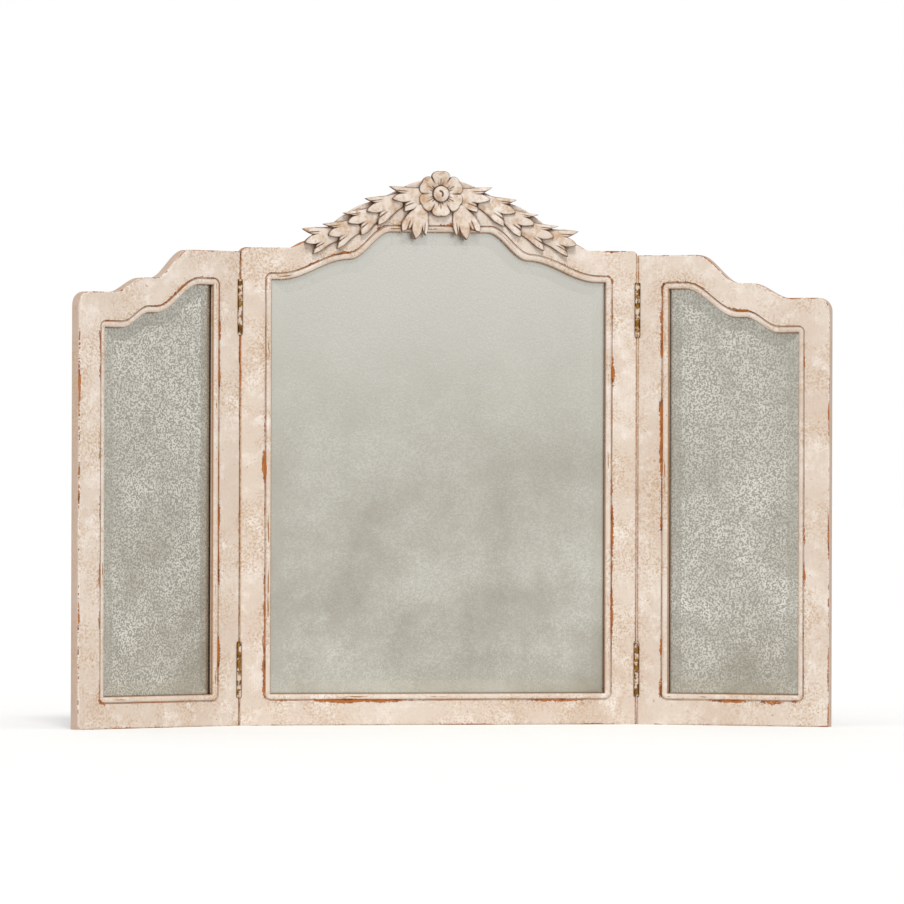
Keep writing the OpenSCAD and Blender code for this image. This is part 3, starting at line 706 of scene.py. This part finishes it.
def painted_wood():
    """Chalk paint rubbed through to stained pine. The eye gets a matt cream ground, thin brown lines in the
    quirk, ragged chips 20 to 60 mm long beside it, dashes on the arrises and tan stains, with painted shade
    on the sides, in the hinge seam and in sheltered corners, and a painted highlight round each chip."""
    material, tree, body, place = start("distressed_chalk_paint_on_pine")
    uv = tree.nodes["Texture Coordinate"].outputs["UV"]
    sight, arris, seam = (add(tree, "Attribute", attribute_name=n).outputs["Fac"]
                          for n in ("sight", "arris", "seam"))
    # the side faces are painted a darker pinkish tan as painted shade, and the back takes the same darker
    # tone
    side = add(tree, "MapRange", arris, 0.0003, 0.0030, 0.0, 0.75)
    arris = add(tree, "Math", arris, operation="ABSOLUTE")
    # distance from the quirk: inwards the wear stops 2.5 times sooner than outwards
    beyond = add(tree, "Math", sight, QUIRK_AT, operation="SUBTRACT")
    quirk = add(tree, "Math", beyond, add(tree, "Math", beyond, -2.5, operation="MULTIPLY"),
                operation="MAXIMUM")
    near = add(tree, "Math", add(tree, "MapRange", arris, 0.0036, 0.0003, 0.0, 0.9),
               add(tree, "MapRange", quirk, 0.0028, 0.0002), operation="MAXIMUM")
    wide = add(tree, "Math", add(tree, "MapRange", arris, 0.0050, 0.0005),
               add(tree, "MapRange", quirk, 0.0100, 0.0012), operation="MAXIMUM")
    dashes = along_grain(tree, uv, 5, 13, 4, 0.62)
    chips = along_grain(tree, uv, 2.2, 15, 3, 0.55, 5.0)
    ragged = along_grain(tree, uv, 1.4, 260, 4, 0.7)
    # a score above its threshold is bare wood, and just below it a pale rim of painted highlight rings each
    # chip, where the paint also stands up in the bump
    score = add(tree, "Math", ragged, 0.35, operation="MULTIPLY")
    score = add(tree, "Math", dashes, 0.9, score, operation="MULTIPLY_ADD")
    score = add(tree, "Math", near, 0.5, score, operation="MULTIPLY_ADD")
    chip_score = add(tree, "Math", ragged, 0.5, operation="MULTIPLY")
    chip_score = add(tree, "Math", chips, chip_score, operation="ADD")
    chip_score = add(tree, "Math", wide, 0.42, chip_score, operation="MULTIPLY_ADD")
    worn = add(tree, "Math", add(tree, "MapRange", score, 1.12, 1.14),
               add(tree, "MapRange", chip_score, 1.195, 1.210), operation="MAXIMUM")
    rim = add(tree, "Math", add(tree, "MapRange", score, 1.04, 1.11),
              add(tree, "MapRange", chip_score, 1.145, 1.190), operation="MAXIMUM")
    # the quirk holds a nearly unbroken golden line, and so does the edge that touches the glass
    broken = add(tree, "MapRange", dashes, 0.38, 0.56, 0.25, 1.0)
    lip = add(tree, "Math", add(tree, "MapRange", quirk, 0.0014, 0.0004), broken, operation="MULTIPLY")
    glass_line = add(tree, "Math", add(tree, "MapRange", sight, 0.0014, 0.0004), 0.85, operation="MULTIPLY")
    bead_wear = along_grain(tree, uv, 9, 16, 4, 0.6, 2.0)
    on_bead = add(tree, "Math", add(tree, "Math", sight, BEAD_AT, operation="SUBTRACT"), operation="ABSOLUTE")
    bead_dash = add(tree, "Math", add(tree, "MapRange", on_bead, 0.0014, 0.0006),
                    add(tree, "MapRange", bead_wear, 0.60, 0.63), operation="MULTIPLY")
    line = add(tree, "Math", add(tree, "Math", lip, glass_line, operation="MAXIMUM"), bead_dash,
               operation="MAXIMUM")
    # grime and painted shade in the seam, 2.5 mm wide, broken by flakes
    seam_grime_and_shade = add(tree, "Math", add(tree, "MapRange", seam, 0.0032, 0.0010),
                     add(tree, "MapRange", ragged, 0.36, 0.56, 0.35, 1.0), operation="MULTIPLY")
    # tan stains: fine speckle of 3 mm that comes in patches of 60 mm and gathers near the edges
    patches = add(tree, "MapRange", add(tree, "TexNoise", place, 16, 3, 0.55), 0.43, 0.60, 0.15, 0.9)
    speckle = add(tree, "MapRange", add(tree, "TexNoise", place, 300, 4, 0.7), 0.47, 0.58)
    stained = add(tree, "Math", patches, speckle, operation="MULTIPLY")
    stained = add(tree, "Math", stained, add(tree, "MapRange", wide, 0.0, 1.0, 0.55, 1.0),
                  operation="MULTIPLY")
    specks = add(tree, "MapRange", add(tree, "TexNoise", place, 240, 2, 0.5), 0.70, 0.74, 0.0, 0.7)
    streaks = along_grain(tree, uv, 18, 24, 5, 0.6)
    # brown glaze and painted shade gather under the carving and in other sheltered corners, but not at the
    # foot
    shelter = add(tree, "AmbientOcclusion", None, 0.007, samples=8).outputs["AO"]
    above_foot = add(tree, "MapRange", add(tree, "SeparateXYZ", place).outputs["Z"], 0.010, 0.025)
    glaze_and_shade = add(tree, "Math", add(tree, "MapRange", shelter, 0.75, 0.35, 0.0, 0.85), above_foot,
               operation="MULTIPLY")
    wood_tone = add(tree, "MapRange", along_grain(tree, uv, 3, 60, 4, 0.6), 0.50, 0.66)
    wood = add(tree, "Mix", wood_tone, WOOD_RED, WOOD_DARK, data_type="RGBA")
    colour = cream_paint(tree, place)
    layers = [(add(tree, "MapRange", streaks, 0.42, 0.66, 0.0, 0.35), CREAM_PINK),
              (side, SIDE_SHADE_AND_BACK_TONE), (stained, BUFF), (rim, CREAM_PALE), (line, GOLDEN),
              (seam_grime_and_shade, GOLDEN), (glaze_and_shade, BROWN_GLAZE_AND_SHADE), (specks, WOOD_RED), (worn, wood)]
    for amount, paint in layers:
        colour = add(tree, "Mix", amount, colour, paint, data_type="RGBA")
    body.inputs["IOR"].default_value = CHALK_IOR
    standing = add(tree, "Math", rim, 0.5, add(tree, "Math", worn, -1.4, operation="MULTIPLY"),
                   operation="MULTIPLY_ADD")
    height = add(tree, "Math", streaks, 0.5,
                 add(tree, "Math", ragged, 0.3, standing, operation="MULTIPLY_ADD"), operation="MULTIPLY_ADD")
    dress(tree, body, colour, add(tree, "MapRange", worn, 0.0, 1.0, 0.62, 0.48), height, 0.6, 0.0007)
    return material


def carved_paint():
    """The same paint on carving. Brown glaze was brushed on and wiped off, and painted shade from occlusion
    darkens it further, so the eye gets dark outlines
    1 to 2 mm wide in every cut, cream crowns, and red-brown rubs of about 15 mm."""
    material, tree, body, place = start("glazed_chalk_paint_on_carving")
    crease = add(tree, "Attribute", attribute_name="crease").outputs["Fac"]
    # occlusion within 7 mm paints shade into the hollows of the carving
    shelter = add(tree, "AmbientOcclusion", None, 0.007, samples=12).outputs["AO"]
    patchy = add(tree, "TexNoise", place, 150, 4, 0.65)
    # brown glaze held in the cuts, together with that painted shade
    held_glaze_and_shade = add(tree, "Math", add(tree, "MapRange", crease, 0.10, 0.70),
               add(tree, "MapRange", shelter, 0.80, 0.35), operation="MAXIMUM")
    held_glaze_and_shade = add(tree, "Math", held_glaze_and_shade, add(tree, "MapRange", patchy, 0.30, 0.52, 0.5, 1.0), operation="MULTIPLY")
    wash = add(tree, "MapRange", add(tree, "TexNoise", place, 85, 5, 0.65), 0.46, 0.66, 0.0, 0.75)
    rubbed = add(tree, "MapRange", add(tree, "TexNoise", place, 66, 5, 0.7), 0.62, 0.67, 0.0, 0.85)
    colour = cream_paint(tree, place)
    for amount, paint in ((wash, BUFF), (held_glaze_and_shade, BROWN_GLAZE_AND_SHADE), (rubbed, WOOD_RED)):
        colour = add(tree, "Mix", amount, colour, paint, data_type="RGBA")
    body.inputs["IOR"].default_value = CHALK_IOR
    dress(tree, body, colour, 0.6, patchy, 0.5, 0.0006)
    return material


PAINT, CARVED = painted_wood(), carved_paint()
for piece in woodwork.values():
    piece.data.materials.append(PAINT)
for piece in crest.values():
    piece.data.materials.append(CARVED)
print("painted", len(woodwork), "and", len(crest))

# %% [markdown]
# ## Antiqued mirror
# Old silvering is attacked from behind and turns to fine grey worms with bright silver between.
# It is a metal seen through glass, so the shader is a metal whose colour and roughness follow
# noise cut to two levels. The wings are more eaten than the centre.

# %% Mirror
def antiqued_mirror(name, dark, pale, width, rough, sheen):
    """Silver behind glass. The eye gets worms about 2.5 mm wide, a painted reflection that pales the top, and
    darker clouds low down:
    one octave of noise cut softly at its middle value. width is how soft the cut is, and sheen how much the
    painted reflection pales the top."""
    material, tree, body, place = start(name)
    level = add(tree, "TexNoise", place, 400, 0.6, 0.4)
    slope = add(tree, "Attribute", attribute_name="bevel").outputs["Fac"]
    worms = add(tree, "MapRange", level, 0.5 - width, 0.5 + width)
    patch = add(tree, "MapRange", add(tree, "TexNoise", place, 26, 3, 0.6), 0.36, 0.6, 0.6, 1.0)
    fade = add(tree, "Math", patch, add(tree, "MapRange", slope, 0.0, 1.0, 1.0, 0.6), operation="MULTIPLY")
    worms = add(tree, "Math", worms, fade, operation="MULTIPLY")
    height = add(tree, "SeparateXYZ", place).outputs["Z"]
    # darker grey-brown clouds towards the bottom of the glass
    clouds = add(tree, "MapRange", add(tree, "TexNoise", place, 7, 4, 0.6), 0.35, 0.75)
    darker_low_clouds = add(tree, "Math", clouds, add(tree, "MapRange", height, 0.62, 0.15, 0.1, 0.95),
               operation="MULTIPLY")
    colour = add(tree, "Mix", worms, shade(dark), shade(pale), data_type="RGBA")
    colour = add(tree, "Mix", darker_low_clouds, colour, shade("#A29C8D"), data_type="RGBA")
    # painted reflection: the glass is painted paler towards the top
    painted_top_reflection = add(tree, "MapRange", height, 0.40, 0.72, 0.0, sheen)
    colour = add(tree, "Mix", painted_top_reflection, colour, shade("#EBEAE3"), data_type="RGBA")
    body.inputs["Metallic"].default_value = 1.0
    dress(tree, body, colour, add(tree, "MapRange", worms, 0.0, 1.0, rough + 0.15, rough), worms, 0.12,
          0.0003)
    return material


MIRROR_CENTRE = antiqued_mirror("antiqued_mirror_centre", "#C9C6BA", "#DAD8CE", 0.12, 0.2, 0.6)
MIRROR_WING = antiqued_mirror("antiqued_mirror_wing", "#AFABA0", "#F1EEE4", 0.09, 0.2, 0.0)
for node, piece in glass.items():
    piece.data.materials.append(MIRROR_CENTRE if node.startswith("centre") else MIRROR_WING)
print("mirrors made")


# %% [markdown]
# ## Metals, board, felt and bare wood
# The small parts are seen from the back or when a wing is swung. The brass barrels were painted
# over and rubbed bright again, the board is plain hardboard, and the felt keeps it off the silver.

# %% Small finishes
def metal(name, pale, dark, rough, flaked=False):
    """A worn metal: tarnish in spots of 11 mm, scratches finer than 2 mm, and if flaked, flakes of old
    paint about 10 mm long."""
    material, tree, body, place = start(name)
    tarnish = add(tree, "MapRange", add(tree, "TexNoise", place, 90, 4, 0.6), 0.38, 0.66)
    scratch = add(tree, "TexNoise", place, 700, 2, 0.5)
    colour = add(tree, "Mix", tarnish, shade(pale), shade(dark), data_type="RGBA")
    body.inputs["Metallic"].default_value = 1.0
    if flaked:
        flakes = add(tree, "MapRange", add(tree, "TexNoise", place, 105, 4, 0.65), 0.51, 0.55)
        colour = add(tree, "Mix", flakes, colour, CREAM_PINK, data_type="RGBA")
        fill(tree, body.inputs["Metallic"], add(tree, "Math", 1.0, flakes, operation="SUBTRACT"))
    dress(tree, body, colour, add(tree, "MapRange", scratch, 0.3, 0.7, rough, rough + 0.2), scratch, 0.25,
          0.0002)
    return material


def fibrous(name, base, fleck, scale, stretch, rough, strength, sheen):
    """Board, felt or plain wood: base colour with flecks or grain of another and a slow mottle of 110 mm."""
    material, tree, body, place = start(name)
    drawn = add(tree, "Mapping", place, None, None, stretch)
    fibres = add(tree, "TexNoise", drawn, scale, 5, 0.65)
    colour = add(tree, "Mix", add(tree, "MapRange", fibres, 0.42, 0.68), shade(base), shade(fleck),
                 data_type="RGBA")
    broad = add(tree, "MapRange", add(tree, "TexNoise", place, 9, 3, 0.5), 0.4, 0.8, 0.0, 0.35)
    colour = add(tree, "Mix", broad, colour, shade(fleck), data_type="RGBA")
    body.inputs["Sheen Weight"].default_value = sheen
    dress(tree, body, colour, rough, fibres, strength, 0.0004)
    return material


AGED_BRASS = metal("aged_brass_with_paint_flakes", "#A97C38", "#6A461C", 0.42, flaked=True)
BRASS_SCREW = metal("brass_screw", "#B08A4E", "#7A5A2E", 0.3)
STEEL_SCREW = metal("zinc_plated_steel_screw", "#B9B8B2", "#8B8A84", 0.35)
HARDBOARD = fibrous("pressed_hardboard", "#7B5638", "#5B3D25", 420, (1, 1, 1), 0.6, 0.3, 0.0)
FELT = fibrous("grey_wool_felt", "#8C8A86", "#6C6A67", 900, (1, 1, 1), 0.95, 0.7, 0.4)
BEECH = fibrous("bare_beech_dowel", "#D2A878", "#B98A58", 260, (0.12, 1, 1), 0.6, 0.25, 0.0)
FINISH_OF = [
    ("felt", FELT), ("backing_board", HARDBOARD), ("board_screws", STEEL_SCREW), ("dowels", BEECH),
    ("hinge_screws", BRASS_SCREW), ("leaf", AGED_BRASS), ("pin", AGED_BRASS),
]
shown = [n for n in frame["nodes"] if n not in crest and n not in glass and f"{n}_moulded" not in woodwork]
plain = []
for name in shown:
    finish = next((m for ending, m in FINISH_OF if name.endswith(ending)), None)
    plain += [] if finish else [name]
    for slot in frame["nodes"][name].material_slots:
        slot.material = finish
print("finished", len(shown), "carried-over nodes; without a finish:", plain)

# %% [markdown]
# ## Floor, light and camera
# A wide pale floor, an even white sky and one large soft lamp in front give the flat light of a
# catalogue. The lamp stands where none of the three mirrors shows it to the camera.

# %% Studio
CAMERA_AZIMUTH, CAMERA_ELEVATION, CAMERA_ROLL = math.radians(-10.8), math.radians(-0.36), math.radians(0.18)
CAMERA_DISTANCE, AIM = 9.254, np.array([0.0200, 0.0, 0.3890])
LENS, SENSOR = 258.2, 36.0
SKY_SEEN, SKY_LIGHT = 1.0, 0.72
LAMP_STRENGTH, LAMP_SPREAD, LAMP_AIM = 1.6, math.radians(14), (0.08, 0.80, -0.92)
WARM_WHITE = (1.0, 0.99, 0.975)
FLOOR_RADIUS = 150

bpy.ops.mesh.primitive_circle_add(vertices=96, radius=FLOOR_RADIUS, fill_type="NGON", location=(0, 0, 0))
floor = bpy.context.object
floor.name = "floor"
floor_finish, floor_tree, floor_body, floor_place = start("pale_floor")
grain = add(floor_tree, "TexNoise", floor_place, 3, 3, 0.5)
floor_colour = add(floor_tree, "Mix", grain, shade("#FAFAF9"), shade("#F7F7F6"), data_type="RGBA")
fill(floor_tree, floor_body.inputs["Base Color"], floor_colour)
floor_body.inputs["Roughness"].default_value = 0.8
floor_body.inputs["Specular IOR Level"].default_value = 0.1
floor.data.materials.append(floor_finish)

world = bpy.data.worlds.new("white_studio")
bpy.context.scene.world = world
world.use_nodes = True
sky = world.node_tree.nodes["Background"]
sky.inputs["Color"].default_value = shade("#FFFFFF")
seen = add(world.node_tree, "LightPath").outputs["Is Camera Ray"]
fill(world.node_tree, sky.inputs["Strength"],
     add(world.node_tree, "MapRange", seen, 0.0, 1.0, SKY_LIGHT, SKY_SEEN))
key = bpy.data.lights.new("key", "SUN")
key.energy, key.angle, key.color = LAMP_STRENGTH, LAMP_SPREAD, WARM_WHITE
key_lamp = bpy.data.objects.new("key", key)
bpy.context.scene.collection.objects.link(key_lamp)
key_lamp.rotation_euler = Vector(LAMP_AIM).to_track_quat("-Z", "Y").to_euler()
bpy.context.scene.view_settings.view_transform = "Standard"

level = math.cos(CAMERA_ELEVATION)
back = np.array([math.sin(CAMERA_AZIMUTH) * level, -math.cos(CAMERA_AZIMUTH) * level,
                 math.sin(CAMERA_ELEVATION)])
camera_data = bpy.data.cameras.new("camera")
camera_data.lens, camera_data.sensor_width = LENS, SENSOR
camera_data.clip_start, camera_data.clip_end = 0.1, 400
camera = bpy.data.objects.new("camera", camera_data)
bpy.context.scene.collection.objects.link(camera)
camera.location = AIM + back * CAMERA_DISTANCE
level_view = Vector(-back).to_track_quat("-Z", "Y")
camera.rotation_euler = (level_view @ Quaternion((0, 0, 1), CAMERA_ROLL)).to_euler()
bpy.context.scene.camera = camera
print("camera", [round(v, 3) for v in camera.location])
